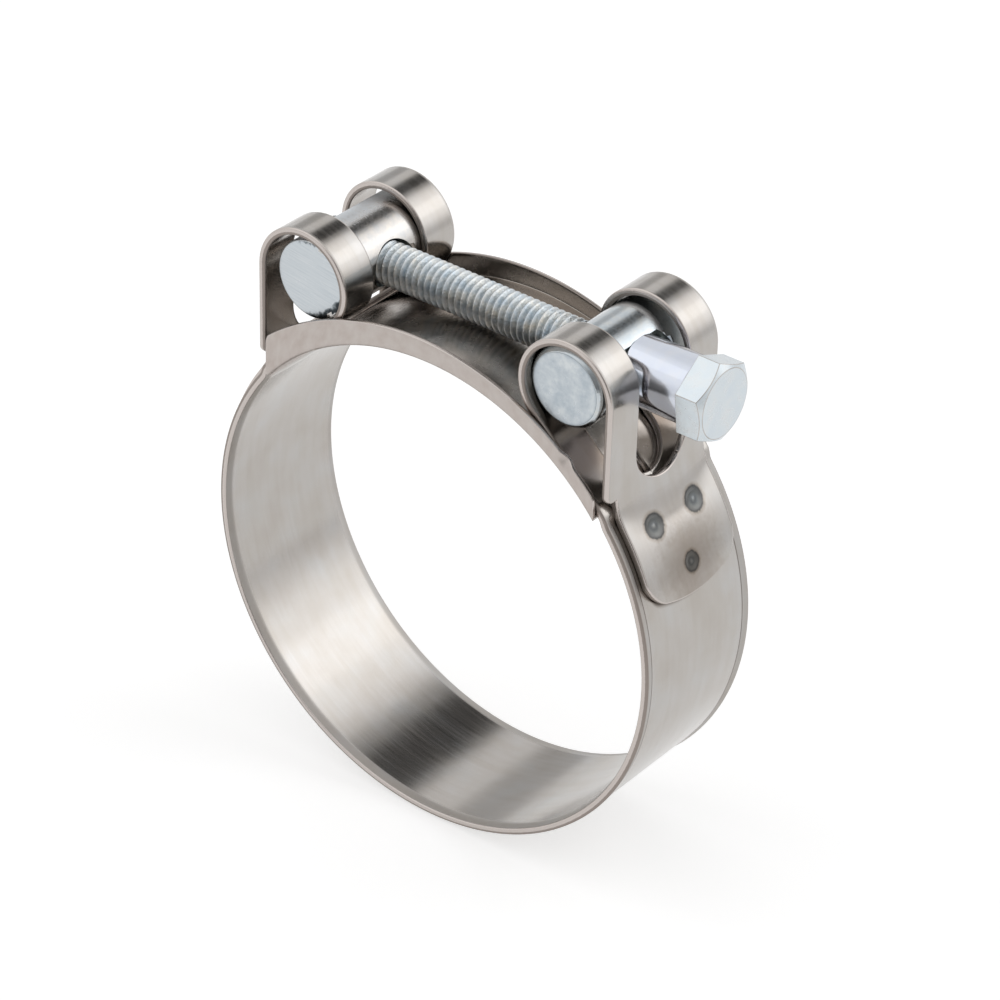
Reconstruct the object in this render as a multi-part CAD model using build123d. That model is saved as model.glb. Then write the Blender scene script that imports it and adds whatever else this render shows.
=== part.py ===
from build123d import *
import math
import os

# Heavy-duty single-bolt hose clamp: one stainless strip with a loop at each end, a solid
# barrel in each loop, a hex bolt that draws the barrels together, a spacer sleeve under
# its head and a curved channel that bridges the gap.
# Millimetres. Origin: centre of the bore. +X along the bolt towards its head, +Y along
# the bore, +Z from the bore's centre up to the bolt. Angles are in degrees, from +X to +Z.

# Band: the strip and its rolled-out lips
BORE_R = 34.5
STRIP_T = 1.0
BAND_W = 22.0
LIP_L = 1.3
LIP_ANGLE = 13.0

# Bolt, full thread
THREAD_D = 5.9
BOLT_TIP = 0.8
THREAD_PAST = 0.84
HEAD_AF = 10.0
HEAD_H = 4.0
HEAD_FACE_INSET = 0.3
HEAD_FACE_H = 0.2
HEAD_CHAMFER_INSET = 0.35
HEAD_CHAMFER_ANGLE = 30.0
HEAD_TURN = 7.1

# Spacer sleeve under the bolt head
SPACER_OD = 9.0
SPACER_CLEAR = 0.1
SPACER_L = 9.0
SPACER_EDGE = 0.2
SEAT_GAP = 0.03

# Barrels
BARREL_D = 11.0
BARREL_INSET = 1.0
BARREL_PLAY = 0.05
SAWN_EDGE = 0.3
TURNED_EDGE = 0.6
TAP_CLEAR = 0.05
TAP_MOUTH = 0.85
PLAIN_CLEAR = 0.3
SEAT_DEPTH = 1.7
SEAT_MARGIN = 0.7

# Bridge: channel sheet under the bolt
BRIDGE_T = 0.6
BRIDGE_FIT = 0.05
BRIDGE_REACH = 4.6
BOLT_CLEAR = 0.15
FLANGE_GAP = 0.15
FLANGE_BEND_R = 0.55
FLANGE_CORNER_R = 0.7
FLANGE_TALL_H = 4.3
FLANGE_LOW_H = 2.4
FLANGE_TAPER = 1.4
FLANGE_POINTS = 6

# Stake that locks the bridge to the band end on the bolt head's side
STAKE_BACK = 3.4
STAKE_RISE = 0.85
STAKE_R = 1.6
STAKE_DEPTH = 0.4
STAKE_REACH = 0.7

# Loops and slots of the strip
LOOP_X = 21.1
LOOP_SLACK = 0.75
SLOT_CLEAR = 0.8
SLOT_PAST = 3.1
SLOT_OUTER_RISE = 0.2
LIFT_ARC = 1.9
LIFT_SECTIONS = 7

# Folded-back tails of the strip
FOLD_R = 4.5
TAIL_INSET = 1.9
TAIL_L = 12.2
TAIL_GAP = 0.04
TAIL_CORNER_R = 3.0
JOG_RISE = 0.4
JOG_R = 1.1

# Spot welds through the tail
WELD_D = 2.4
WELD_DISH_D = 3.8
WELD_LOW_DISH_D = 3.0
WELD_DISH_DEPTH = 0.1
WELD_PAIR_ARC = 2.7
WELD_PAIR_Y = 4.1
WELD_LOW_ARC = 2.8

# How far a cutter reaches past the metal it cuts
CUT_PAST = 3.0

# Radii and heights that follow from the sizes above
BOLT_Z = BORE_R + BRIDGE_T + BOLT_CLEAR + THREAD_D / 2
RING_C = BORE_R + STRIP_T / 2
OVER_C = RING_C + BRIDGE_T + BRIDGE_FIT
TAIL_C = RING_C + STRIP_T + TAIL_GAP
LOOP_IN = BARREL_D / 2 + LOOP_SLACK
LOOP_C = LOOP_IN + STRIP_T / 2
LEG_X = LOOP_X + LOOP_C
SLOT_W = SPACER_OD + 2 * SLOT_CLEAR
TAIL_W = BAND_W - 2 * TAIL_INSET
FLANGE_IN = BAND_W / 2 + FLANGE_GAP
FLANGE_OUT = FLANGE_IN + BRIDGE_T

# Places along the bolt
BARREL_X = LOOP_X - LOOP_SLACK + BARREL_PLAY
SEAT_X = BARREL_X + BARREL_D / 2 - SEAT_DEPTH
SPACER_X = SEAT_X + SEAT_GAP
HEAD_X = SPACER_X + SPACER_L + SEAT_GAP
BOLT_L = HEAD_X + BARREL_X + BARREL_D / 2 + THREAD_PAST


def polar(radius, angle, centre=(0.0, 0.0)):
    """Point in the X-Z plane at this radius and angle round a centre."""
    turn = math.radians(angle)
    return (centre[0] + radius * math.cos(turn), centre[1] + radius * math.sin(turn))


def arc_angle(length, radius):
    """Angle that an arc of this length takes at this radius."""
    return math.degrees(length / radius)


# The inner leg is the straight tangent that crosses from the ring to the loop.
LOOP_CENTRE = (LOOP_X, BOLT_Z)
LOOP_DIST = math.hypot(LOOP_X, BOLT_Z)
CROSS_ANGLE = (math.degrees(math.atan2(BOLT_Z, LOOP_X))
               - math.degrees(math.acos((OVER_C + LOOP_C) / LOOP_DIST)))
LOOP_START = CROSS_ANGLE + 180

# The web of the bridge ends under the band, and the band comes down to the bore past it.
BRIDGE_END = CROSS_ANGLE - arc_angle(BRIDGE_REACH, OVER_C)
BRIDGE_SPAN = 180 - 2 * BRIDGE_END
LIFT_START = BRIDGE_END - arc_angle(LIFT_ARC, RING_C)

# The fold is an arc tangent to the outer leg and to the tail.
FOLD_X = LEG_X + FOLD_R
FOLD_Z = math.sqrt((TAIL_C + FOLD_R) ** 2 - FOLD_X ** 2)
FOLD_ANGLE = math.degrees(math.atan2(FOLD_Z, FOLD_X))
FOLD_CENTRE = (FOLD_X, FOLD_Z)
JOG_Z = FOLD_Z + JOG_RISE
TAIL_END = FOLD_ANGLE - arc_angle(TAIL_L, TAIL_C)

FROM_BASE = (Align.CENTER, Align.CENTER, Align.MIN)


def at_angle(shape, angle):
    """Turn a shape from the X axis up to this angle round the bore."""
    return Rot(0, -angle, 0) * shape


def ring_section(lift, lip):
    """Strip section in the X-Y plane, raised by lift, its lips bent to this share of their angle."""
    slope = math.radians(LIP_ANGLE * lip)
    inner = BORE_R + lift
    half = BAND_W / 2
    tip = inner + LIP_L * math.sin(slope)
    flat = half - LIP_L * math.cos(slope)
    side = [(inner, flat), (tip, half),
            (tip + STRIP_T * math.cos(slope), half - STRIP_T * math.sin(slope)),
            (inner + STRIP_T, flat - STRIP_T * math.tan(slope / 2))]
    points = side + [(r, -y) for r, y in reversed(side)]
    return make_face(Polyline(*points, close=True))


def ring():
    """Lipped ring, from one lifted end round the bottom to the other."""
    start = at_angle(ring_section(0.0, 1.0), LIFT_START)
    return revolve(start, axis=Axis.Y, revolution_arc=180 + 2 * LIFT_START)


def lifted_end():
    """Short rise from the ring to its end over the bridge, where the lips run out."""
    sections = []
    for i in range(LIFT_SECTIONS):
        share = i / (LIFT_SECTIONS - 1)
        rise = (1 - math.cos(math.pi * share)) / 2
        section = ring_section((OVER_C - RING_C) * rise, 1 - rise)
        sections.append(at_angle(section, LIFT_START + (BRIDGE_END - LIFT_START) * share))
    return loft(sections)


def loop_strip():
    """Full-width strip: over the bridge, up round the barrel and down the outer leg."""
    half = STRIP_T / 2
    over_arc = CROSS_ANGLE - BRIDGE_END
    outer_r = LOOP_IN + STRIP_T
    with BuildSketch(Plane.XZ) as profile:
        with BuildLine():
            CenterArc((0, 0), OVER_C + half, BRIDGE_END, over_arc)
            Line(polar(OVER_C + half, CROSS_ANGLE), polar(LOOP_IN, LOOP_START, LOOP_CENTRE))
            CenterArc(LOOP_CENTRE, LOOP_IN, 0, LOOP_START)
            Line((LEG_X - half, BOLT_Z), (LEG_X - half, JOG_Z))
            Line((LEG_X - half, JOG_Z), (LEG_X + half, JOG_Z))
            Line((LEG_X + half, JOG_Z), (LEG_X + half, BOLT_Z))
            CenterArc(LOOP_CENTRE, outer_r, 0, LOOP_START)
            Line(polar(outer_r, LOOP_START, LOOP_CENTRE), polar(OVER_C - half, CROSS_ANGLE))
            CenterArc((0, 0), OVER_C - half, BRIDGE_END, over_arc)
            Line(polar(OVER_C - half, BRIDGE_END), polar(OVER_C + half, BRIDGE_END))
        make_face()
    strip = extrude(profile.sketch, BAND_W / 2, both=True)
    corners = strip.edges().filter_by(Axis.X).filter_by_position(Axis.Z, JOG_Z, JOG_Z)
    return fillet(corners, JOG_R)


def tail_strip():
    """Narrower strip: foot of the outer leg, fold and tail that lies on the ring."""
    half = STRIP_T / 2
    tail_arc = FOLD_ANGLE - TAIL_END
    with BuildSketch(Plane.XZ) as profile:
        with BuildLine():
            Line((LEG_X - half, JOG_Z), (LEG_X - half, FOLD_Z))
            CenterArc(FOLD_CENTRE, FOLD_R + half, 180, FOLD_ANGLE)
            CenterArc((0, 0), TAIL_C - half, TAIL_END, tail_arc)
            Line(polar(TAIL_C - half, TAIL_END), polar(TAIL_C + half, TAIL_END))
            CenterArc((0, 0), TAIL_C + half, TAIL_END, tail_arc)
            CenterArc(FOLD_CENTRE, FOLD_R - half, 180, FOLD_ANGLE)
            Line((LEG_X + half, FOLD_Z), (LEG_X + half, JOG_Z))
            Line((LEG_X + half, JOG_Z), (LEG_X - half, JOG_Z))
        make_face()
    strip = extrude(profile.sketch, TAIL_W / 2, both=True)
    end_z = polar(TAIL_C, TAIL_END)[1]
    across = strip.edges().filter_by(lambda e: abs(abs(e.center().Y) - TAIL_W / 2) < 1e-4)
    corners = across.filter_by(lambda e: e.geom_type == GeomType.LINE
                               and abs(e.center().Z - end_z) < STRIP_T / 2)
    return fillet(corners, TAIL_CORNER_R)


def slot_cutter():
    """Long slot through the inner leg, over the loop and down the outer leg."""
    radius = SLOT_W / 2
    inner_r = radius - SLOT_PAST
    foot_x, foot_z = polar(OVER_C, CROSS_ANGLE)
    along = polar(inner_r, CROSS_ANGLE + 90)
    inner = (foot_x + along[0], foot_z + along[1])
    outer_z = FOLD_Z + SLOT_OUTER_RISE + radius
    top = BOLT_Z + LOOP_IN + STRIP_T + CUT_PAST
    outline = [polar(-CUT_PAST, CROSS_ANGLE, inner), polar(CUT_PAST, CROSS_ANGLE, inner),
               (LEG_X - CUT_PAST, outer_z), (LEG_X + CUT_PAST, outer_z),
               (LEG_X + CUT_PAST, top), (LOOP_X - LOOP_C - CUT_PAST, top),
               (LOOP_X - LOOP_C - CUT_PAST, inner[1])]
    cutter = extrude(Plane.XZ * make_face(Polyline(*outline, close=True)), radius, both=True)
    round_end = Rot(0, 90, 0) * Cylinder(radius, 2 * CUT_PAST)
    cutter += Pos(inner[0], 0, inner[1]) * at_angle(round_end, CROSS_ANGLE)
    cutter += Pos(LEG_X, 0, outer_z) * round_end
    return cutter


def weld_places():
    """Arc, side position and dish of each spot weld on a tail, from the fold down."""
    pair_angle = FOLD_ANGLE - arc_angle(WELD_PAIR_ARC, TAIL_C)
    low_angle = TAIL_END + arc_angle(WELD_LOW_ARC, TAIL_C)
    return [(pair_angle, -WELD_PAIR_Y, WELD_DISH_D), (pair_angle, WELD_PAIR_Y, WELD_DISH_D),
            (low_angle, 0.0, WELD_LOW_DISH_D)]


def radial_plug(diameter, low_r, high_r, angle, side):
    """Round plug that points outward from the bore between two radii."""
    plug = Rot(0, 90, 0) * Cylinder(diameter / 2, high_r - low_r, align=FROM_BASE)
    return at_angle(Pos(low_r, side, 0) * plug, angle)


def band():
    """The folded strip, one piece from tail to tail."""
    end = lifted_end() + loop_strip() + tail_strip()
    end -= slot_cutter()
    tail_top = TAIL_C + STRIP_T / 2
    for angle, side, dish_d in weld_places():
        end += radial_plug(WELD_D, RING_C, TAIL_C, angle, side)
        end -= radial_plug(dish_d, tail_top - WELD_DISH_DEPTH, tail_top + CUT_PAST, angle, side)
    return ring() + end + mirror(end, about=Plane.YZ)


def flange_top():
    """Points along a flange's top edge, from its low end on the right to its tall end."""
    end_x = polar(BORE_R, BRIDGE_END)[0]
    first = math.degrees(math.acos(end_x / (BORE_R + FLANGE_LOW_H)))
    last = 180 - math.degrees(math.acos(end_x / (BORE_R + FLANGE_TALL_H)))
    points = []
    for i in range(FLANGE_POINTS):
        share = i / (FLANGE_POINTS - 1)
        height = FLANGE_LOW_H + (FLANGE_TALL_H - FLANGE_LOW_H) * share ** FLANGE_TAPER
        points.append(polar(BORE_R + height, first + (last - first) * share))
    return points


def flange_outline():
    """Side view of a bridge flange: its foot on the bore and upright ends, rounded on top."""
    top = flange_top()
    with BuildSketch(Plane.XZ) as outline:
        with BuildLine():
            CenterArc((0, 0), BORE_R, BRIDGE_END, BRIDGE_SPAN)
            Line(polar(BORE_R, BRIDGE_END), top[0])
            Spline(*top)
            Line(top[-1], polar(BORE_R, 180 - BRIDGE_END))
        make_face()
        tips = outline.vertices().filter_by(
            lambda v: math.hypot(v.X, v.Z) > BORE_R + FLANGE_LOW_H / 2)
        fillet(tips, FLANGE_CORNER_R)
    return outline.sketch


def stake(side):
    """Dimple pressed into one flange, and the lug that it pushes over the band's edge."""
    strip_top = OVER_C + STRIP_T / 2
    x, z = polar(strip_top + STAKE_RISE, CROSS_ANGLE + arc_angle(STAKE_BACK, OVER_C))
    dimple = Pos(x, side * (FLANGE_OUT + STAKE_R - STAKE_DEPTH), z) * Sphere(STAKE_R)
    lug = Pos(x, side * (FLANGE_IN + STAKE_R - STAKE_REACH), z) * Sphere(STAKE_R)
    above_strip = Pos(strip_top + BRIDGE_FIT, 0, 0) * Box(
        FLANGE_TALL_H, 2 * FLANGE_OUT, 2 * (STAKE_BACK + 2 * STAKE_R),
        align=(Align.MIN, Align.CENTER, Align.CENTER))
    return dimple, lug & at_angle(above_strip, CROSS_ANGLE)


def bridge():
    """Channel that carries the hose across the gap: a curved web and two side flanges."""
    with BuildSketch(Plane.XZ) as sector:
        with BuildLine():
            CenterArc((0, 0), BORE_R, BRIDGE_END, BRIDGE_SPAN)
            CenterArc((0, 0), BORE_R + BRIDGE_T, BRIDGE_END, BRIDGE_SPAN)
            Line(polar(BORE_R, BRIDGE_END), polar(BORE_R + BRIDGE_T, BRIDGE_END))
            Line(polar(BORE_R, 180 - BRIDGE_END), polar(BORE_R + BRIDGE_T, 180 - BRIDGE_END))
        make_face()
    body = extrude(sector.sketch, FLANGE_OUT, both=True)
    flange = extrude(flange_outline(), BRIDGE_T / 2, both=True)
    for side in (-1, 1):
        body += Pos(0, side * (FLANGE_OUT - BRIDGE_T / 2), 0) * flange
    feet = body.edges().filter_by(lambda e: e.geom_type == GeomType.CIRCLE
                                  and abs(e.radius - BORE_R) < 1e-3
                                  and abs(abs(e.center().Y) - FLANGE_OUT) < 1e-3)
    body = fillet(feet, FLANGE_BEND_R)
    flange_slab = extrude(flange_outline(), FLANGE_OUT - STAKE_DEPTH, both=True)
    for side in (-1, 1):
        dimple, lug = stake(side)
        body = body - dimple + (lug & flange_slab)
    return body


def barrel(edge):
    """Solid round bar across the band, at the origin, with chamfered ends."""
    bar = Rot(90, 0, 0) * Cylinder(BARREL_D / 2, BAND_W - 2 * BARREL_INSET)
    rims = bar.edges().filter_by(GeomType.CIRCLE)
    return chamfer(rims, edge)


def cross_hole(diameter):
    """Cutter along the bolt, right through a barrel."""
    return Rot(0, 90, 0) * Cylinder(diameter / 2, 2 * BARREL_D)


def barrel_tapped():
    """Sawn barrel with the thread, in the loop away from the bolt head."""
    bar = barrel(SAWN_EDGE) - cross_hole(THREAD_D + 2 * TAP_CLEAR)
    mouth_r = THREAD_D / 2 + TAP_MOUTH
    sink = Pos(0, 0, BARREL_D / 2 - mouth_r) * Cone(0, 2 * mouth_r, 2 * mouth_r, align=FROM_BASE)
    for side in (-90, 90):
        bar -= Rot(0, side, 0) * sink
    return Pos(-BARREL_X, 0, BOLT_Z) * bar


def barrel_plain():
    """Turned barrel with a clearance hole and a flat seat for the spacer."""
    bar = barrel(TURNED_EDGE) - cross_hole(THREAD_D + 2 * PLAIN_CLEAR)
    seat = Rot(0, 90, 0) * Cylinder(SPACER_OD / 2 + SEAT_MARGIN, BARREL_D, align=FROM_BASE)
    bar -= Pos(SEAT_X - BARREL_X, 0, 0) * seat
    return Pos(BARREL_X, 0, BOLT_Z) * bar


def spacer():
    """Plain sleeve between the bolt head and its barrel."""
    tube = Cylinder(SPACER_OD / 2, SPACER_L, align=FROM_BASE)
    rims = tube.edges().filter_by(GeomType.CIRCLE)
    tube = chamfer(rims, SPACER_EDGE)
    tube -= Cylinder(THREAD_D / 2 + SPACER_CLEAR, SPACER_L, align=FROM_BASE)
    return Pos(SPACER_X, 0, BOLT_Z) * Rot(0, 90, 0) * tube


def bolt():
    """Hex bolt: washer face, hexagon with a turned top, and a full-length thread."""
    corner_r = HEAD_AF / 2 / math.cos(math.radians(30))
    hex_h = HEAD_H - HEAD_FACE_H
    top_r = HEAD_AF / 2 - HEAD_CHAMFER_INSET
    foot_r = top_r + hex_h / math.tan(math.radians(HEAD_CHAMFER_ANGLE))
    hexagon = extrude(RegularPolygon(corner_r, 6), hex_h)
    hexagon &= Cone(foot_r, top_r, hex_h, align=FROM_BASE)
    head = Rot(0, 0, HEAD_TURN) * Pos(0, 0, HEAD_FACE_H) * hexagon
    face = Cylinder(HEAD_AF / 2 - HEAD_FACE_INSET, HEAD_FACE_H, align=FROM_BASE)
    shank = Cylinder(THREAD_D / 2, BOLT_L, align=(Align.CENTER, Align.CENTER, Align.MAX))
    tip = shank.edges().filter_by(GeomType.CIRCLE).sort_by(Axis.Z)[0]
    shank = chamfer(tip, BOLT_TIP)
    return Pos(HEAD_X, 0, BOLT_Z) * Rot(0, 90, 0) * (head + face + shank)


PARTS = {
    "band": band,
    "bridge": bridge,
    "barrel_tapped": barrel_tapped,
    "barrel_plain": barrel_plain,
    "spacer": spacer,
    "bolt": bolt,
}

os.makedirs("parts", exist_ok=True)
for name, make in PARTS.items():
    solid = make()
    solid.label = name
    export_step(solid, f"parts/{name}.step")
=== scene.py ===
"""Bolt hose clamp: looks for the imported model. Millimetres until a mesh is made, then metres."""
import math

import bmesh
import bpy
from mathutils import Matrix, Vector, noise


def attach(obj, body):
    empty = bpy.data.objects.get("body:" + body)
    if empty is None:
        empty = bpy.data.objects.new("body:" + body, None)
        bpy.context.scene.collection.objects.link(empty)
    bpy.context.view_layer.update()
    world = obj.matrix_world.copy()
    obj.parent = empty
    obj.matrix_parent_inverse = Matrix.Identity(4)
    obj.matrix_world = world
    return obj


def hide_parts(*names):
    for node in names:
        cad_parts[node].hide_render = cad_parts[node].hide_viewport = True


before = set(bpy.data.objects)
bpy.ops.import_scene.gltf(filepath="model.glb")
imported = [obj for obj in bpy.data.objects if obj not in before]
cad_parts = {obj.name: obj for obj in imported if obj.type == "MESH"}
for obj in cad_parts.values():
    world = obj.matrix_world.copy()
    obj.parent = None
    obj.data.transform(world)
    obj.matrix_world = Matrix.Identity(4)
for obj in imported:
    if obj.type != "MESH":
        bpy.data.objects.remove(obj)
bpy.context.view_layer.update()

# Band: one stainless strip, blanked flat with its slots and narrower tails, then rolled,
# looped, folded back at each foot and spot-welded. Rolled sheet, 22 by 1 mm, edges sheared.
MM = 0.001
BORE_R = 34.5
# The strip's section, and the lips along the ring that bend out.
STRIP_T = 1.0
STRIP_HALF_W = 11.0
STRIP_EDGE_R = 0.18
LIP_ANGLE = 13
LIP_BEND_Y = 9.73
LIP_BEND_HALF = 0.15
LIP_TIP_Y = 10.89
# The strip's centre line, mirrored at X = 0: angles round the bore, in degrees from +X, radii
# of the ring, of the part over the bridge and of the tail, then loop, leg and fold.
LIFT_START = 36.886
BRIDGE_END = 39.996
CROSS_ANGLE = 47.389
RING_C = 35.0
OVER_C = 35.65
TAIL_C = 36.04
BOLT_Z = 38.2
LOOP_X = 21.1
LOOP_C = 6.75
LEG_X = 27.85
FOLD_R = 4.5
FOLD_Z = 24.43
FOLD_ANGLE = 37.06
# The bend between leg and tail is soft: how far it is blurred at the sides, how much more in the
# middle, and where past the fold the blur fades.
BEND_BLUR = 1.8
MIDDLE_BLUR = 3.4
BLUR_PAST_FOLD = 2
BLUR_FADE = 4
# The tail, the notch where it narrows, the slot and the spot welds.
TAIL_HALF_W = 9.1
TAIL_L = 12.2
TAIL_END_ANGLE = FOLD_ANGLE - math.degrees(TAIL_L / TAIL_C)
TAIL_CORNER_R = 3.0
TAIL_BULGE = 2.0
TAIL_BULGE_FROM = 8.0
TAIL_BULGE_MIDDLE = 0.55
JOG_RISE = 0.4
JOG_R = 1.1
SLOT_HALF_W = 5.3
SLOT_PAST = 3.1
SLOT_OUTER_RISE = 0.2
WELD_PAIR_ARC = 2.7
WELD_PAIR_Y = 4.1
WELD_PAIR_R = 1.55
WELD_LOW_ARC = 2.8
WELD_LOW_R = 1.2
WELD_DEPTH = 0.13
CLOSEST_STOPS = 0.002
# Shares of a weld dish: its flat bottom, and the raised middle's radius and height.
DISH_FLAT = 0.6
BUTTON_R = 0.35
BUTTON_H = 0.8
WHITE = "#FFFFFF"
# Patterns of the sheet in millimetres: along the strip, across it and through it.
ROLLING_LINE = (9, 0.25, 1)
STREAK = (12, 1.2, 1)
TEAR = (0.3, 0.3, 2)
STAIN = 6
SPECK_SPACING = 5
SMUDGE = 10 / 9


def linear(colour):
    """sRGB hex to a linear RGBA colour."""
    parts = [int(colour[i:i + 2], 16) / 255 for i in (1, 3, 5)]
    return [c / 12.92 if c <= 0.04045 else ((c + 0.055) / 1.055) ** 2.4 for c in parts] + [1.0]


def node(tree, kind, inputs=(), **settings):
    """Adds one node with its settings, and fills or links its inputs, in order or by name."""
    made = tree.nodes.new("ShaderNode" + kind)
    for key, value in settings.items():
        setattr(made, key, value)
    for key, value in inputs.items() if isinstance(inputs, dict) else enumerate(inputs):
        if isinstance(value, bpy.types.NodeSocket):
            tree.links.new(value, made.inputs[key])
        else:
            made.inputs[key].default_value = value
    return made


def tinted(tree, value, start, end, colours):
    """Tints laid over a value, at even steps from start to end."""
    share = node(tree, "MapRange", [value, start, end]).outputs[0]
    ramp = node(tree, "ValToRGB", [share])
    stops = ramp.color_ramp.elements
    for i in range(1, len(colours) - 1):
        stops.new(i / (len(colours) - 1))
    for stop, colour in zip(stops, colours):
        stop.color = linear(colour)
    return ramp.outputs["Color"]


def stained(tree, under, value, start, end, colours):
    """A colour darkened by the tints of a stain, which run over a value from start to end."""
    over = tinted(tree, value, start, end, colours)
    return node(tree, "VectorMath", [under, over], operation="MULTIPLY").outputs[0]


def feed(shader, name, value):
    """Links a value into one of a shader's inputs."""
    shader.id_data.links.new(value, shader.inputs[name])


def fed(shader, name):
    """What feeds one of a shader's inputs."""
    return shader.inputs[name].links[0].from_socket


def bare_metal(name, colour, roughness):
    """A metal with its colour and roughness on the shader: itself, its tree and its shader."""
    material = bpy.data.materials.new(name)
    material.use_nodes = True
    shader = material.node_tree.nodes["Principled BSDF"]
    shader.inputs["Metallic"].default_value = 1.0
    shader.inputs["Base Color"].default_value = linear(colour)
    shader.inputs["Roughness"].default_value = roughness
    return material, material.node_tree, shader


def polar(radius, angle, centre=(0.0, 0.0)):
    """Point in the X-Z plane at this radius and angle round a centre."""
    turn = math.radians(angle)
    return centre[0] + radius * math.cos(turn), centre[1] + radius * math.sin(turn)


def ease(share):
    """Smooth step from 0 to 1."""
    share = min(1.0, max(0.0, share))
    return share * share * (3 - 2 * share)


def arc_run(centre, radius, start, end):
    """A bend of the strip's centre line, with its length in front."""
    return math.radians(abs(end - start)) * radius, ("arc", centre, radius, start, end)


def centre_line():
    """The strip's runs, from the bottom of the ring to the end of the right tail."""
    foot = polar(OVER_C, CROSS_ANGLE)
    top = polar(LOOP_C, CROSS_ANGLE + 180, (LOOP_X, BOLT_Z))
    lift = math.radians(BRIDGE_END - LIFT_START) * (RING_C + OVER_C) / 2
    return [
        arc_run((0, 0), RING_C, -90, LIFT_START),
        (lift, ("lift",)),
        arc_run((0, 0), OVER_C, BRIDGE_END, CROSS_ANGLE),
        (math.dist(foot, top), ("line", foot, top)),
        arc_run((LOOP_X, BOLT_Z), LOOP_C, CROSS_ANGLE + 180, 0),
        (BOLT_Z - FOLD_Z, ("line", (LEG_X, BOLT_Z), (LEG_X, FOLD_Z))),
        arc_run((LEG_X + FOLD_R, FOLD_Z), FOLD_R, 180, 180 + FOLD_ANGLE),
        arc_run((0, 0), TAIL_C, FOLD_ANGLE, TAIL_END_ANGLE),
    ]


RUNS = centre_line()
STARTS = [sum(run[0] for run in RUNS[:i]) for i in range(len(RUNS) + 1)]
S_LIFT, S_OVER, S_LEG, S_LOOP, S_OUTER, S_FOLD, S_TAIL, S_END = STARTS[1:]
S_JOG = S_FOLD - JOG_RISE
SLOT_IN = S_LEG + SLOT_HALF_W - SLOT_PAST
SLOT_OUT = S_FOLD - SLOT_OUTER_RISE - SLOT_HALF_W
# Each weld's place along and across the strip and its radius, the lowest one last.
WELDS = [(S_TAIL + WELD_PAIR_ARC, -WELD_PAIR_Y, WELD_PAIR_R),
         (S_TAIL + WELD_PAIR_ARC, WELD_PAIR_Y, WELD_PAIR_R),
         (S_END - WELD_LOW_ARC, 0.0, WELD_LOW_R)]


def on_line(s):
    """Point and outward normal of the centre line, in X and Z, at this length along it."""
    i = max(k for k in range(len(RUNS)) if STARTS[k] <= s + 1e-9)
    length, (kind, *shape) = RUNS[i]
    share = (s - STARTS[i]) / length
    if kind == "line":
        (x0, z0), (x1, z1) = shape
        dx, dz = (x1 - x0) / length, (z1 - z0) / length
        return (x0 + (x1 - x0) * share, z0 + (z1 - z0) * share), (dz, -dx)
    if kind == "lift":
        angle = LIFT_START + (BRIDGE_END - LIFT_START) * share
        rise = (1 - math.cos(math.pi * share)) / 2
        return polar(RING_C + (OVER_C - RING_C) * rise, angle), polar(1, angle)
    centre, radius, start, end = shape
    angle = start + (end - start) * share
    side = 1 if end > start else -1
    return polar(radius, angle, centre), polar(side, angle)


def bent_line(s, w):
    """The centre line, with the fold blurred into leg and tail, most in the strip's middle."""
    if s < S_FOLD - BEND_BLUR - MIDDLE_BLUR:
        return on_line(s)
    reach = BEND_BLUR + MIDDLE_BLUR * max(0.0, 1 - (w / TAIL_HALF_W) ** 2)
    reach *= 1 - ease((s - S_TAIL - BLUR_PAST_FOLD) / BLUR_FADE)
    near = [on_line(s + reach * k / 4) for k in range(-4, 5)]
    return [tuple(sum(spot[kind][axis] for spot in near) / len(near) for axis in (0, 1))
            for kind in (0, 1)]


def weld_dent(s, w):
    """Depth of the electrodes' marks: dishes with a small raised middle."""
    depth = 0.0
    for at, side, radius in WELDS:
        far = math.hypot(s - at, w - side) / radius
        dish = 1 - ease((far - DISH_FLAT) / (1 - DISH_FLAT))
        depth += WELD_DEPTH * (dish - BUTTON_H * (1 - ease(far / BUTTON_R)))
    return depth


def lip_bend(w, share):
    """Side position, rise and slope of the strip's middle where its lip bends out."""
    start = LIP_BEND_Y - LIP_BEND_HALF
    slope = math.tan(math.radians(LIP_ANGLE)) * share
    tip = STRIP_HALF_W - (STRIP_HALF_W - LIP_TIP_Y) * share
    y = w if w < start else start + (w - start) * (tip - start) / (STRIP_HALF_W - start)
    past = min(max(y - start, 0.0), 2 * LIP_BEND_HALF)
    rise = slope * (past ** 2 / (4 * LIP_BEND_HALF) + max(y - LIP_BEND_Y - LIP_BEND_HALF, 0.0))
    return y, rise, math.atan(slope * past / (2 * LIP_BEND_HALF))


def place_strip(s, w, h):
    """Where a point of the flat blank lies once the strip is bent."""
    along = abs(s)
    (x, z), (nx, nz) = bent_line(along, w)
    share = min(1.0, max(0.0, (S_OVER - along) / (S_OVER - S_LIFT)))
    y, rise, slope = lip_bend(abs(w), (1 - math.cos(math.pi * share)) / 2)
    y -= math.sin(slope) * h
    out = rise + math.cos(slope) * h
    if along > S_TAIL and h < 0:
        out += weld_dent(along, w)
    return math.copysign(x + nx * out, s), math.copysign(y, w), z + nz * out


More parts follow.
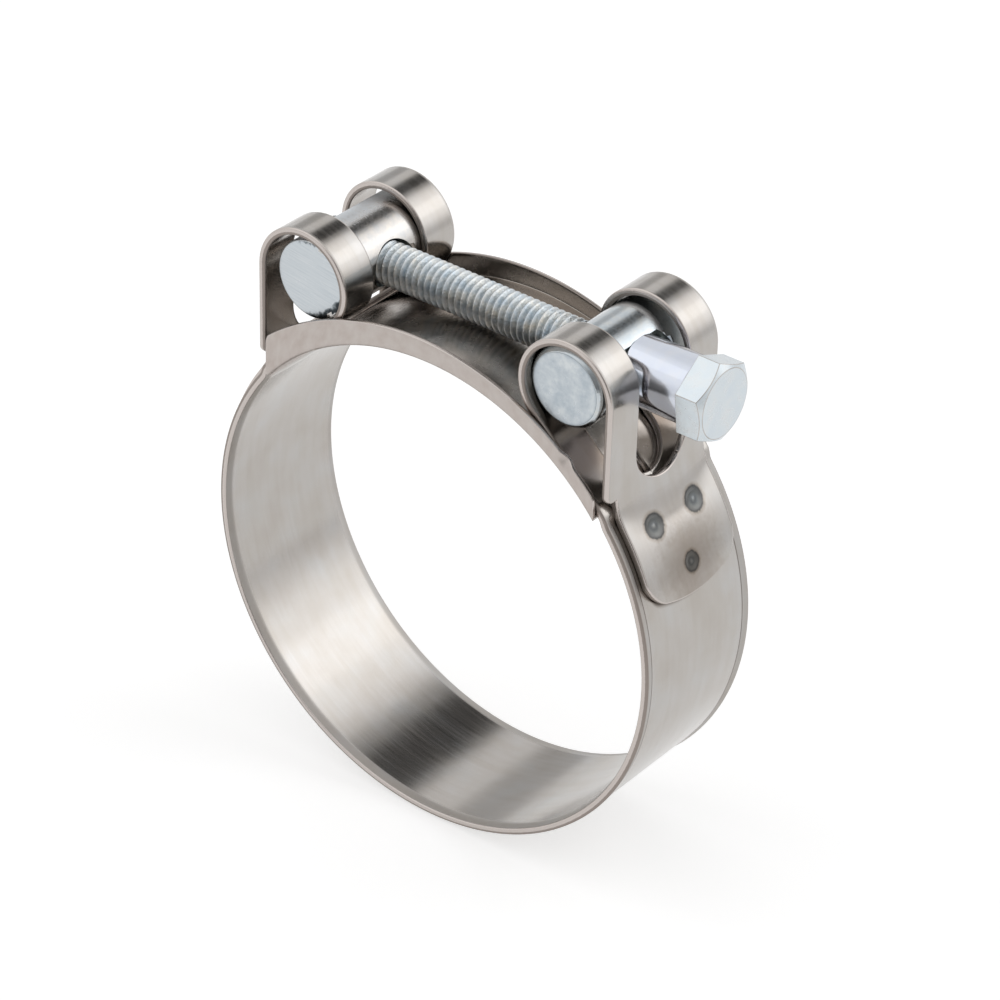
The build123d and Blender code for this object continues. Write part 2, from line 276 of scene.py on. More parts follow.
def thick_sheet(name, quads, place, thickness, edge_r, materials):
    """A bent sheet from quads of its flat blank: both faces, and a rim of the second metal with
    rounded edges. place(a, b, h) puts a point of the blank at height h over the sheet's middle."""
    flat, index, faces = [], {}, []
    for quad in quads:
        area = sum(quad[i - 1][0] * quad[i][1] - quad[i][0] * quad[i - 1][1] for i in range(4))
        face = []
        for point in quad if area > 0 else quad[::-1]:
            key = (round(point[0], 4), round(point[1], 4))
            if key not in index:
                index[key] = len(flat)
                flat.append(Vector(point))
            if index[key] not in face:
                face.append(index[key])
        if len(face) > 2:
            faces.append(face)
    pairs = {(f[i - 1], f[i]) for f in faces for i in range(len(f))}
    rim = [(i, j) for i, j in pairs if (j, i) not in pairs]
    sides = {}
    for i, j in rim:
        step = (flat[j] - flat[i]).normalized()
        for k in (i, j):
            sides.setdefault(k, []).append(Vector((step.y, -step.x)))
    out = {}
    for k, normals in sides.items():
        both = sum(normals, Vector((0, 0)))
        out[k] = both / both.dot(normals[0])
    half = thickness / 2
    turn = edge_r * math.sqrt(0.5)
    rings = [(0, half), (turn, half - edge_r + turn), (edge_r, half - edge_r),
             (edge_r, edge_r - half), (turn, edge_r - half - turn), (0, -half)]
    last = len(rings) - 1
    points, number = [], {}
    for k, (push, h) in enumerate(rings):
        for i in range(len(flat)) if k in (0, last) else out:
            a, b = flat[i] + out[i] * push if i in out else flat[i]
            number[k, i] = len(points)
            points.append((a, b, h))
    solid = [[number[0, i] for i in f] for f in faces]
    solid += [[number[last, i] for i in f[::-1]] for f in faces]
    cut = len(solid)
    for k in range(last):
        solid += [[number[k, j], number[k, i], number[k + 1, i], number[k + 1, j]] for i, j in rim]
    mesh = bpy.data.meshes.new(name)
    mesh.from_pydata([[c * MM for c in place(*p)] for p in points], [], solid)
    for material in materials:
        mesh.materials.append(material)
    for polygon in mesh.polygons[cut:]:
        polygon.material_index = 1
    mesh.attributes.new("blank_mm", "FLOAT_VECTOR", "POINT").data.foreach_set(
        "vector", [c for p in points for c in p])
    return finish_mesh(name, mesh)


def finish_mesh(name, mesh, sharp=None):
    """Closes a mesh's normals, shades it smooth up to a sharp angle and makes it an object."""
    work = bmesh.new()
    work.from_mesh(mesh)
    bmesh.ops.recalc_face_normals(work, faces=work.faces)
    work.to_mesh(mesh)
    work.free()
    mesh.shade_smooth()
    if sharp:
        mesh.set_sharp_from_angle(angle=math.radians(sharp))
    made = bpy.data.objects.new(name, mesh)
    bpy.context.scene.collection.objects.link(made)
    made.modifiers.new("even_normals", "WEIGHTED_NORMAL").keep_sharp = True
    return made


def even(start, end, count):
    """Evenly spaced values with both ends."""
    return [start + (end - start) * i / count for i in range(count + 1)]


def rounding(centre, radius, count):
    """Places along a quarter round, close together where it turns across."""
    return [centre + radius * math.sin(math.radians(90 * i / count)) for i in range(count + 1)]


def quarter_round(radius, past):
    """Half width of a round end, this far past the place where it starts."""
    return math.sqrt(max(0.0, radius ** 2 - max(0.0, past) ** 2))


def strip_quads():
    """The flat blank as quads: an inner lane beside the slot and an outer lane for the lips.
    Each run of the centre line has as many steps as its bends need."""
    b = STRIP_EDGE_R
    slot = SLOT_HALF_W + b
    corner = TAIL_CORNER_R - b
    shoulder = JOG_R - b
    stops = (even(0, S_LIFT, 84) + even(S_LIFT, S_OVER, 6) + even(S_OVER, SLOT_IN - slot, 3)
             + rounding(SLOT_IN, -slot, 14) + even(SLOT_IN, S_LOOP, 8) + even(S_LOOP, S_OUTER, 68)
             + even(S_OUTER, SLOT_OUT, 9) + rounding(SLOT_OUT, slot, 16)
             + rounding(S_JOG - JOG_R, shoulder, 6) + even(S_FOLD, S_TAIL, 9)
             + even(S_TAIL, S_END - TAIL_CORNER_R, 40)
             + rounding(S_END - TAIL_CORNER_R, corner, 12))
    stops = sorted({round(s, 4) for s in stops})
    stops = [s for i, s in enumerate(stops) if i == 0 or s - stops[i - 1] > CLOSEST_STOPS]

    def inner(s):
        return quarter_round(slot, max(SLOT_IN - s, s - SLOT_OUT))

    def middle(s):
        return TAIL_HALF_W - b - corner + quarter_round(corner, s - S_END + TAIL_CORNER_R)

    def outer(s):
        return STRIP_HALF_W - b - shoulder + quarter_round(shoulder, s - S_JOG + JOG_R)

    def tongue(s, w):
        """The tail's end is convex: its middle reaches further down than its corners."""
        share = ease((s - S_END + TAIL_BULGE_FROM) / TAIL_BULGE_FROM)
        return s + TAIL_BULGE * share * (TAIL_BULGE_MIDDLE - (w / TAIL_HALF_W) ** 2), w

    quads = []
    for s0, s1 in zip(stops, stops[1:]):
        lanes = [(inner, middle, 30)]
        if s1 <= S_JOG - b + CLOSEST_STOPS:
            lanes.append((middle, outer, 9))
        for low, high, count in lanes:
            near, far = ([tongue(s, w) for w in even(low(s), high(s), count)] for s in (s0, s1))
            quads += [[near[i], far[i], far[i + 1], near[i + 1]] for i in range(count)]
    return [[(s * a, w * b) for s, w in quad] for quad in quads for a in (1, -1) for b in (1, -1)]


def rolled_stainless(name, colour, roughness, wave_mm, wave_depth_mm):
    """Bright rolled stainless: a smooth satin with faint lines along the strip and wide waves."""
    material, tree, shader = bare_metal(name, colour, roughness)
    blank = node(tree, "Attribute", attribute_name="blank_mm").outputs["Vector"]
    # Rolling lines are a few microns wide. Here they are wide and long enough to show.
    at = node(tree, "VectorMath", [blank, [1 / size for size in ROLLING_LINE]],
              operation="MULTIPLY").outputs[0]
    lines = node(tree, "TexNoise", {"Vector": at, "Scale": 1.0, "Detail": 3.0}).outputs["Fac"]
    rough = node(tree, "MapRange", [lines, 0.3, 0.7, roughness - 0.02, roughness + 0.03])
    feed(shader, "Roughness", rough.outputs[0])
    lines = node(tree, "Bump", {"Height": lines, "Strength": 0.25, "Distance": 0.003 * MM})
    waves = node(tree, "TexNoise", {"Vector": blank, "Scale": 1 / wave_mm, "Detail": 2.0})
    waves = node(tree, "Bump", {"Height": waves.outputs["Fac"], "Strength": 0.5,
                                "Distance": wave_depth_mm * MM, "Normal": lines.outputs[0]})
    feed(shader, "Normal", waves.outputs[0])
    return material, tree, shader, blank


strip_metal, tree, shader, blank = rolled_stainless(
    "rolled_stainless_strip", "#B3AFAB", roughness=0.18, wave_mm=9, wave_depth_mm=0.09)
on_blank = node(tree, "SeparateXYZ", [blank]).outputs
along = node(tree, "Math", [on_blank["X"]], operation="ABSOLUTE").outputs[0]
across = node(tree, "Math", [on_blank["Y"]], operation="ABSOLUTE").outputs[0]
bore_side = node(tree, "Math", [on_blank["Z"], 0.0], operation="LESS_THAN").outputs[0]
past_ring = node(tree, "MapRange", [along, S_LIFT, S_OVER]).outputs[0]

# Handling leaves faint grey and straw stains on the bright strip, and rolling faint streaks.
stains = node(tree, "TexNoise", {"Vector": blank, "Scale": 1 / STAIN, "Detail": 5.0}).outputs["Fac"]
skin = tinted(tree, stains, 0.3, 0.7, ["#AFAAA5", "#B3AFAB", "#B5B3B1"])
at = node(tree, "VectorMath", [blank, [1 / size for size in STREAK]],
          operation="MULTIPLY").outputs[0]
streaks = node(tree, "TexNoise", {"Vector": at, "Scale": 1.0, "Detail": 4.0}).outputs["Fac"]
skin = stained(tree, skin, streaks, 0.36, 0.62, ["#FBFAF8", WHITE])

# Painted shade: the crease where each lip of the ring bends out is darkened, on the side away from
# the bore.
from_crease = node(tree, "Math", [across, LIP_BEND_Y], operation="SUBTRACT").outputs[0]
from_crease = node(tree, "Math", [from_crease], operation="ABSOLUTE").outputs[0]
from_crease = node(tree, "Math", [from_crease, past_ring], operation="ADD").outputs[0]
from_crease = node(tree, "Math", [from_crease, bore_side], operation="ADD").outputs[0]
skin = stained(tree, skin, from_crease, 0.04, 0.2, ["#A09A96", WHITE])

# Painted shade: the inner leg, from ring to loop, is tinted darker and brownish.
skin = stained(tree, skin, along, S_OVER, S_LOOP + 3, [WHITE, "#BBB0A8", "#B4A9A1", WHITE])

# Painted shadow: the ring is darkened in a line along the convex end of the tail and round its
# corners, where the tail lies on it.
bulge = node(tree, "Math", [across, TAIL_HALF_W], operation="DIVIDE").outputs[0]
bulge = node(tree, "Math", [bulge, 2.0], operation="POWER").outputs[0]
corner = node(tree, "MapRange", [across, TAIL_HALF_W - TAIL_CORNER_R, TAIL_HALF_W]).outputs[0]
corner = node(tree, "Math", [corner, 3.0], operation="POWER").outputs[0]
ring_end = math.radians(90 + TAIL_END_ANGLE) * RING_C - TAIL_BULGE_MIDDLE * TAIL_BULGE
for rise, height in ((bulge, TAIL_BULGE), (corner, TAIL_CORNER_R)):
    ring_end = node(tree, "Math", [rise, height, ring_end], operation="MULTIPLY_ADD").outputs[0]
from_end = node(tree, "Math", [ring_end, along], operation="SUBTRACT").outputs[0]
from_end = node(tree, "Math", [from_end], operation="ABSOLUTE").outputs[0]
from_end = node(tree, "Math", [from_end, bore_side], operation="ADD").outputs[0]
beside = node(tree, "Math", [across, TAIL_HALF_W - 0.5], operation="SUBTRACT").outputs[0]
beside = node(tree, "Math", [beside, 0.0], operation="MAXIMUM").outputs[0]
from_end = node(tree, "Math", [from_end, beside], operation="ADD").outputs[0]
skin = stained(tree, skin, from_end, 0.1, 0.75, ["#77716C", "#BDB8B4", "#E9E7E5", WHITE])

# Painted shade: the tail is darkened in a thin line along its rounded side edges.
off_tail = node(tree, "Math", [along, S_FOLD], operation="LESS_THAN").outputs[0]
side = node(tree, "Math", [off_tail, -TAIL_HALF_W, across], operation="MULTIPLY_ADD").outputs[0]
skin = stained(tree, skin, side, TAIL_HALF_W - 0.3, TAIL_HALF_W - 0.1, [WHITE, "#8C8681"])

# A few small dark specks, each 0.3 mm or so across. Six cells in ten stay clean.
specks = node(tree, "TexVoronoi", {"Vector": blank, "Scale": 1 / SPECK_SPACING}).outputs
clean = node(tree, "SeparateXYZ", [specks["Color"]]).outputs["X"]
clean = node(tree, "Math", [clean, 0.6], operation="LESS_THAN").outputs[0]
off_speck = node(tree, "Math", [specks["Distance"], clean], operation="ADD").outputs[0]
skin = stained(tree, skin, off_speck, 0.02, 0.045, ["#9C9691", WHITE])

# Spot welds: each electrode leaves a dark grey dish with a paler raised middle and a straw halo.
# The lowest weld, where the loop ends, also smoked the tail round it.
places = node(tree, "CombineXYZ", [along, on_blank["Y"]]).outputs[0]
uneven = node(tree, "TexNoise", {"Vector": blank, "Scale": 1 / SMUDGE, "Detail": 6.0,
                                 "Roughness": 0.7}).outputs["Fac"]
uneven = node(tree, "MapRange", [uneven, 0.0, 1.0, -0.25, 0.25]).outputs[0]
nearest = S_END
for at, side, radius in WELDS:
    apart = node(tree, "VectorMath", [places, (at, side, 0)], operation="DISTANCE").outputs["Value"]
    radii = node(tree, "Math", [apart, radius], operation="DIVIDE").outputs[0]
    nearest = node(tree, "Math", [nearest, radii], operation="MINIMUM").outputs[0]
nearest = node(tree, "Math", [nearest, uneven], operation="ADD").outputs[0]
skin = stained(tree, skin, nearest, 0.0, 1.5, [
    "#C2C9CE", "#A9B1B7", "#868D93", "#8A9196", "#969C9F", "#999EA1", "#929699", "#737679",
    "#DAD6D1", "#F3F0ED", WHITE])
smoke = node(tree, "MapRange", [uneven, -0.12, 0.12, -1.2, 1.2]).outputs[0]
smoke = node(tree, "Math", [apart, smoke], operation="ADD").outputs[0]
skin = stained(tree, skin, smoke, 1.0, 7.5, ["#D6D0CA", "#DDD7D2", "#E6E2DE", "#F4F2F0", WHITE])
feed(shader, "Base Color", skin)

# The rolls that bent the lips out left them duller than the sheet.
on_lip = node(tree, "Math", [across, past_ring], operation="SUBTRACT").outputs[0]
duller = node(tree, "MapRange", [on_lip, LIP_BEND_Y - 0.3, LIP_BEND_Y + 0.3, 0.0, 0.34]).outputs[0]
duller = node(tree, "Math", [fed(shader, "Roughness"), duller], operation="ADD").outputs[0]
feed(shader, "Roughness", duller)

# Sheared edge: the punch left a bright smooth band, and past it the steel tore and is dull.
edge_metal, tree, shader = bare_metal("sheared_stainless_edge", "#A89F99", 0.38)
blank = node(tree, "Attribute", attribute_name="blank_mm").outputs["Vector"]
at = node(tree, "VectorMath", [blank, [1 / size for size in TEAR]], operation="MULTIPLY").outputs[0]
torn = node(tree, "TexNoise", {"Vector": at, "Scale": 1.0, "Detail": 3.0}).outputs["Fac"]
depth = node(tree, "SeparateXYZ", [blank]).outputs["Z"]
depth = node(tree, "Math", [torn, 0.12, depth], operation="MULTIPLY_ADD").outputs[0]
feed(shader, "Base Color", tinted(tree, depth, 0.10, 0.16, ["#C0B8B3", "#958C86"]))
feed(shader, "Roughness", node(tree, "MapRange", [depth, 0.10, 0.16, 0.24, 0.5]).outputs[0])
tears = node(tree, "Bump", {"Height": torn, "Strength": 0.6, "Distance": 0.03 * MM})
feed(shader, "Normal", tears.outputs[0])

band = thick_sheet("band_strip", strip_quads(), place_strip, STRIP_T, STRIP_EDGE_R,
                   [strip_metal, edge_metal])
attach(band, "clamp")
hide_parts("band")

# Bridge: a pressed stainless channel under the bolt. Its web follows the bore, its flanges
# stand beside the band's ends, and a punched stake in each flange locks it to the band.
BRIDGE_T = 0.6
BRIDGE_C = BORE_R + BRIDGE_T / 2
BRIDGE_EDGE_R = 0.09
BRIDGE_LENGTH = math.radians(180 - 2 * BRIDGE_END) * BRIDGE_C
BRIDGE_END_X = polar(BRIDGE_C, BRIDGE_END)[0]
FLANGE_Y = 11.45
FLANGE_BEND_C = 0.4
FLANGE_LOW_H = 2.4
FLANGE_TALL_H = 4.3
FLANGE_TAPER = 1.4
FLANGE_CORNER_R = 0.7
STAKE_AT = polar(37.0, 52.9)
STAKE_R = 1.5
STAKE_DEPTH = 0.5
RUB = 5 / 3
BEND_AT = FLANGE_Y - FLANGE_BEND_C
BEND_END = BEND_AT + FLANGE_BEND_C * math.pi / 2


def place_bridge(a, v, h):
    """Where a point of the channel's flat blank lies once it is pressed."""
    side, off_middle = math.copysign(1, v), abs(v)
    if off_middle < BEND_AT:
        y, radius, ny, nr = off_middle, BRIDGE_C, 0, 1
    elif off_middle < BEND_END:
        turn = (off_middle - BEND_AT) / FLANGE_BEND_C
        ny, nr = -math.sin(turn), math.cos(turn)
        y, radius = BEND_AT - ny * FLANGE_BEND_C, BRIDGE_C + FLANGE_BEND_C * (1 - nr)
    else:
        y, radius, ny, nr = FLANGE_Y, BRIDGE_C + FLANGE_BEND_C + off_middle - BEND_END, -1, 0
    y, radius = y + ny * h, radius + nr * h
    start = math.degrees(math.acos(min(1.0, BRIDGE_END_X / max(radius, BRIDGE_C))))
    x, z = polar(radius, start + (180 - 2 * start) * a / BRIDGE_LENGTH)
    off_stake = math.hypot(x - STAKE_AT[0], z - STAKE_AT[1]) / STAKE_R
    if off_middle > BEND_END and off_stake < 1:
        y -= STAKE_DEPTH * (1 - off_stake * off_stake) ** 2
    return x, side * y, z


def bridge_quads():
    """The channel's flat blank as quads: web, bend and flange on each side."""
    b = BRIDGE_EDGE_R
    round_r = FLANGE_CORNER_R - b
    stops = (rounding(FLANGE_CORNER_R, -round_r, 6)
             + even(FLANGE_CORNER_R, BRIDGE_LENGTH - FLANGE_CORNER_R, 150)
             + rounding(BRIDGE_LENGTH - FLANGE_CORNER_R, round_r, 6))
    stops = sorted({round(s, 4) for s in stops})

    def top(a):
        rise = (FLANGE_TALL_H - FLANGE_LOW_H) * (a / BRIDGE_LENGTH) ** FLANGE_TAPER
        past = max(FLANGE_CORNER_R - a, a - BRIDGE_LENGTH + FLANGE_CORNER_R)
        drop = round_r - quarter_round(round_r, past)
        return BEND_END + FLANGE_LOW_H + rise - BRIDGE_T / 2 - FLANGE_BEND_C - b - drop

    quads = []
    for a0, a1 in zip(stops, stops[1:]):
        near, far = ([(a, v) for v in even(0, BEND_AT, 14) + even(BEND_AT, BEND_END, 5)[1:]
                      + even(BEND_END, top(a), 7)[1:]] for a in (a0, a1))
        quads += [[near[i], far[i], far[i + 1], near[i + 1]] for i in range(len(near) - 1)]
    return [[(a, v * side) for a, v in quad] for quad in quads for side in (1, -1)]


# Pressed sheet: wavy and scratched inside. The die rubbed the outside of it to a pale matt.
bridge_metal, tree, shader, blank = rolled_stainless(
    "pressed_stainless_channel", "#ABA49D", roughness=0.24, wave_mm=4, wave_depth_mm=0.12)
rubs = node(tree, "TexNoise", {"Vector": blank, "Scale": 1 / RUB, "Detail": 4.0}).outputs["Fac"]
inside = node(tree, "SeparateXYZ", [blank]).outputs["Z"]
inside = node(tree, "Math", [inside, 0.0], operation="GREATER_THAN").outputs[0]
rubbed = node(tree, "MapRange", [rubs, 0.3, 0.7, 0.36, 0.55]).outputs[0]
smooth = node(tree, "MapRange", [rubs, 0.35, 0.7, 0.20, 0.30]).outputs[0]
feed(shader, "Roughness", node(tree, "MapRange", [inside, 0.0, 1.0, rubbed, smooth]).outputs[0])
matt = tinted(tree, rubs, 0.3, 0.7, ["#B3A9A3", "#C6BFBA"])
bare = tinted(tree, rubs, 0.3, 0.7, ["#A69F98", "#B0A9A3"])
both = node(tree, "Mix", {0: inside, 6: matt, 7: bare}, data_type="RGBA")
feed(shader, "Base Color", both.outputs[2])
bridge = thick_sheet("bridge_channel", bridge_quads(), place_bridge, BRIDGE_T, BRIDGE_EDGE_R,
                     [bridge_metal, edge_metal])
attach(bridge, "clamp")
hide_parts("bridge")

# Barrels: solid round bars of zinc-plated steel across the band. The tapped one is sawn to
# length and keeps its saw lines and burr, and the plain one is turned, with a flat seat.
BARREL_R = 5.5
BARREL_HALF_L = 10.0
BARREL_X = 20.4
SAWN_EDGE = 0.3
TURNED_EDGE = 0.6
TAP_R = 3.0
TAP_MOUTH_R = 3.8
TAP_SINK = 1.28
PLAIN_HOLE_R = 3.25
SEAT_X = 24.2
SEAT_R = 5.2
CUTTER_HALF_L = 8
END_RINGS = (0, 1.5, 3.0, 4.0, 4.45, 4.8)
SIDE_HALF_L = 8.5
# The saw's burr: its height and inner radius, its pattern per millimetre, and the middle and
# the reach in degrees of its two ragged places.
BURR_H = 0.3
BURR_FROM_R = 4.9
BURR_PATTERN = 1.9
BURR_PLACES = ((62, 36), (-40, 30))
LATHE_STEPS = 96
SHARP_ANGLE = 30
# Patterns of the zinc in millimetres along X, Y and Z, and the slant of the saw's lines.
ZINC_STAIN = 1.8
SAW_LINE = (5, 5, 0.16)
SAW_SLANT = 8
SCRATCH = (0.5, 0.2, 0.5)
RAG = 0.7
FROSTED_SIDE = 118
# Painted shade of the torn rim and of the burr, where the saw left them: angle, reach and tints.
RIM_AND_BURR_PAINTED_SHADE = ((-50, 1.0, [WHITE, "#A3A7A9", "#54585A", "#45484A"]),
            (92, 0.7, [WHITE, "#8C9092", "#C9CCCE", "#6F7375"]))
TAPPED_AT = (-BARREL_X, 0, BOLT_Z)
PLAIN_AT = (BARREL_X, 0, BOLT_Z)
ACROSS_Y = (1, 0, 1)
ACROSS_X = (0, 1, 1)


def lathe(name, profile, axis, centre, material, closed=False, shift=None):
    """Turns a profile of (along, radius) points round an axis, X or Y, through a centre."""
    points, rows = [], []
    for along, radius in profile:
        rows.append([])
        for i in range(LATHE_STEPS if radius > 0 else 1):
            y, z = polar(radius, 360 * i / LATHE_STEPS)
            spot = Vector((along, y, z)) if axis == "X" else Vector((z, along, y))
            rows[-1].append(len(points))
            points.append((spot + (shift(spot) if shift else Vector()) + Vector(centre)) * MM)
    faces = []
    for row, after in zip(rows, rows[1:] + rows[:1] if closed else rows[1:]):
        for i in range(LATHE_STEPS):
            j = (i + 1) % LATHE_STEPS
            corners = [row[i % len(row)], row[j % len(row)],
                       after[j % len(after)], after[i % len(after)]]
            faces.append(list(dict.fromkeys(corners)))
    mesh = bpy.data.meshes.new(name)
    mesh.from_pydata(points, [], faces)
    mesh.materials.append(material)
    return finish_mesh(name, mesh, SHARP_ANGLE)


def rounded_edge(along, radius, size, way):
    """Four points of a small rounded edge between a bar's side and its end."""
    return [(along - way * size * (1 - math.sin(math.radians(t))),
             radius - size * (1 - math.cos(math.radians(t)))) for t in (0, 35, 65, 90)]


def soft_chamfer(along, radius, size, way):
    """Four points of a chamfer with softened corners between a bar's side and its end."""
    return [(along - way * size * back, radius - size * down)
            for back, down in ((1, 0), (0.84, 0.09), (0.09, 0.84), (0, 1))]


def bar_profile(edge, break_edge):
    """Profile of a solid bar from end to end, with broken edges and rings on its end faces."""
    ends = []
    for way in (-1, 1):
        end = [(way * BARREL_HALF_L, r) for r in END_RINGS]
        end += break_edge(way * BARREL_HALF_L, BARREL_R, edge, way)[::-1]
        ends.append(end)
    side = [(y, BARREL_R) for y in even(-SIDE_HALF_L, SIDE_HALF_L, 16)]
    return ends[0] + side + ends[1][::-1]


def cut_out(target, cutter):
    """Cuts one object out of another and removes it. The cut gets the target's second metal."""
    for polygon in cutter.data.polygons:
        polygon.material_index = 1
    cut = target.modifiers.new("cut", "BOOLEAN")
    cut.object = cutter
    cut.solver = "EXACT"
    cut.operation = "DIFFERENCE"
    target.modifiers.move(1, 0)
    bpy.context.view_layer.update()
    whole = target.evaluated_get(bpy.context.evaluated_depsgraph_get())
    mesh = bpy.data.meshes.new_from_object(whole)
    target.modifiers.remove(cut)
    mesh.set_sharp_from_angle(angle=math.radians(SHARP_ANGLE))
    target.data = mesh
    bpy.data.objects.remove(cutter)


def zinc_plate(name, colour, roughness, grain_mm, depth_mm, cool, warm):
    """Blue-passivated zinc: bluish white, faintly straw in places, over the base metal's grain."""
    material, tree, shader = bare_metal(name, colour, roughness)
    here = node(tree, "TexCoord").outputs["Object"]
    stain = node(tree, "TexNoise", {"Vector": here, "Scale": 1 / (ZINC_STAIN * MM),
                                    "Detail": 5.0, "Roughness": 0.65}).outputs["Fac"]
    feed(shader, "Base Color", tinted(tree, stain, 0.34, 0.68, [cool, colour, warm]))
    fine = node(tree, "TexNoise", {"Vector": here, "Scale": 1 / (grain_mm * MM),
                                   "Detail": 4.0}).outputs["Fac"]
    rough = node(tree, "MapRange", [fine, 0.3, 0.7, roughness - 0.03, roughness + 0.05])
    feed(shader, "Roughness", rough.outputs[0])
    fine = node(tree, "Bump", {"Height": fine, "Strength": 0.7, "Distance": depth_mm * MM})
    feed(shader, "Normal", fine.outputs[0])
    return material, tree, shader, here


def off_axis(tree, here, centre, axes):
    """Millimetres off an axis through a centre, on the axes across it: vector and length."""
    spot = node(tree, "VectorMath", [here, [c * MM for c in centre]], operation="SUBTRACT")
    spot = node(tree, "VectorMath", [spot.outputs[0], [c / MM for c in axes]],
                operation="MULTIPLY").outputs[0]
    return spot, node(tree, "VectorMath", [spot], operation="LENGTH").outputs["Value"]


def toward_angle(tree, spot, reach, angle):
    """How far a spot off the bar's axis lies towards this angle, times the reach."""
    x, z = polar(reach, angle)
    return node(tree, "VectorMath", [spot, (x, 0, z)], operation="DOT_PRODUCT").outputs["Value"]


def burr(spot):
    """The saw's burr: a ragged edge at the top and the bottom right of each sawn end."""
    if abs(spot.y) < BARREL_HALF_L - SAWN_EDGE or math.hypot(spot.x, spot.z) < BURR_FROM_R:
        return Vector()
    angle = math.degrees(math.atan2(spot.z, spot.x))
    share = sum(ease(1.2 - abs(angle - middle) / reach) for middle, reach in BURR_PLACES)
    rag = 0.4 + noise.noise(Vector((spot.x, spot.z, spot.y)) * BURR_PATTERN)
    return Vector((0, math.copysign(BURR_H * share * rag, spot.y), 0))


# Sawn ends: flat and bluish, with the saw's long lines slanting down to the right. The saw tore
# the rim low on the right, where it left the bar, and left a burr at the top. Both carry painted
# shade.
sawn_zinc, tree, shader, here = zinc_plate(
    "sawn_zinc_end", "#C3C9CD", roughness=0.3, grain_mm=0.5, depth_mm=0.012,
    cool="#BDC5CA", warm="#C8CACB")
saw_at = node(tree, "Mapping", {"Vector": here, "Rotation": (0, math.radians(SAW_SLANT), 0),
                                "Scale": [size * MM for size in SAW_LINE]},
              vector_type="TEXTURE").outputs[0]
marks = node(tree, "TexNoise", {"Vector": saw_at, "Scale": 1.0, "Detail": 3.0}).outputs["Fac"]
saw_lines = node(tree, "Bump", {"Height": marks, "Strength": 1.0, "Distance": 0.02 * MM,
                                "Normal": fed(shader, "Normal")})
feed(shader, "Normal", saw_lines.outputs[0])
face = tinted(tree, marks, 0.3, 0.7, ["#B9C0C5", "#C3C9CD", "#CBCFD2"])
spot, far = off_axis(tree, here, TAPPED_AT, ACROSS_Y)
ragged = node(tree, "TexNoise", {"Vector": here, "Scale": 1 / (RAG * MM),
                                 "Detail": 5.0}).outputs["Fac"]
# Painted shade: ragged dark bands low on the right, and dark and light bands at the top of each
# sawn rim.
for angle, reach, colours in RIM_AND_BURR_PAINTED_SHADE:
    lean = toward_angle(tree, spot, reach, angle)
    torn = node(tree, "Math", [far, lean], operation="ADD").outputs[0]
    torn = node(tree, "Math", [ragged, 3.0, torn], operation="MULTIPLY_ADD").outputs[0]
    face = stained(tree, face, torn, 9.9, 11.3, colours)
feed(shader, "Base Color", face)

# Drawn bar: warmer and duller under the plating, with a fine pebbly grain. The plating is frosted
# and scratched at the top, on the side away from the bolt's head.
drawn_zinc, tree, shader, here = zinc_plate(
    "drawn_zinc_bar", "#C0BDBA", roughness=0.2, grain_mm=0.22, depth_mm=0.004,
    cool="#B8B8B8", warm="#C7C2BC")
lean = toward_angle(tree, off_axis(tree, here, TAPPED_AT, ACROSS_Y)[0], 1, FROSTED_SIDE)
at = node(tree, "VectorMath", [here, [1 / (size * MM) for size in SCRATCH]],
          operation="MULTIPLY").outputs[0]
scratches = node(tree, "TexNoise", {"Vector": at, "Scale": 1.0, "Detail": 6.0,
                                    "Roughness": 0.7}).outputs["Fac"]
frost = node(tree, "Math", [scratches, 3.4, lean], operation="MULTIPLY_ADD").outputs[0]
frost = node(tree, "MapRange", [frost, 5.9, 7.5]).outputs[0]
frosted = node(tree, "Mix", {0: frost, 6: fed(shader, "Base Color"), 7: linear("#CDD2D7")},
               data_type="RGBA")
feed(shader, "Base Color", frosted.outputs[2])
rough = node(tree, "MapRange", [frost, 0.0, 1.0, fed(shader, "Roughness"), 0.5])
feed(shader, "Roughness", rough.outputs[0])

# Turned bar: bright and bluish. Its end is frosted by the bath, in pale and grey blotches, and
# painted shade darkens it along the chamfer.
turned_zinc = zinc_plate("turned_zinc_bar", "#C0C6CA", roughness=0.19, grain_mm=0.3,
                         depth_mm=0.010, cool="#BAC2C7", warm="#C7C9C8")[0]
frosted_zinc, tree, shader, here = zinc_plate(
    "frosted_zinc_end", "#BDC4C9", roughness=0.3, grain_mm=0.35, depth_mm=0.03,
    cool="#AEB7BE", warm="#CDD2D4")
far = off_axis(tree, here, PLAIN_AT, ACROSS_Y)[1]
feed(shader, "Base Color", stained(tree, fed(shader, "Base Color"), far, 4.5, 4.95,
                                   [WHITE, "#F2F3F4", "#A9ADB0"]))

# Inside the holes and on the milled seat the plating is thin and greenish. Its dark tone is painted
# shade for the holes' recesses.
hole_zinc_and_shade = zinc_plate("hole_zinc_painted_shade", "#6F7673", roughness=0.3, grain_mm=0.4,
                        depth_mm=0.02, cool="#626A6C", warm="#7C7F76")[0]

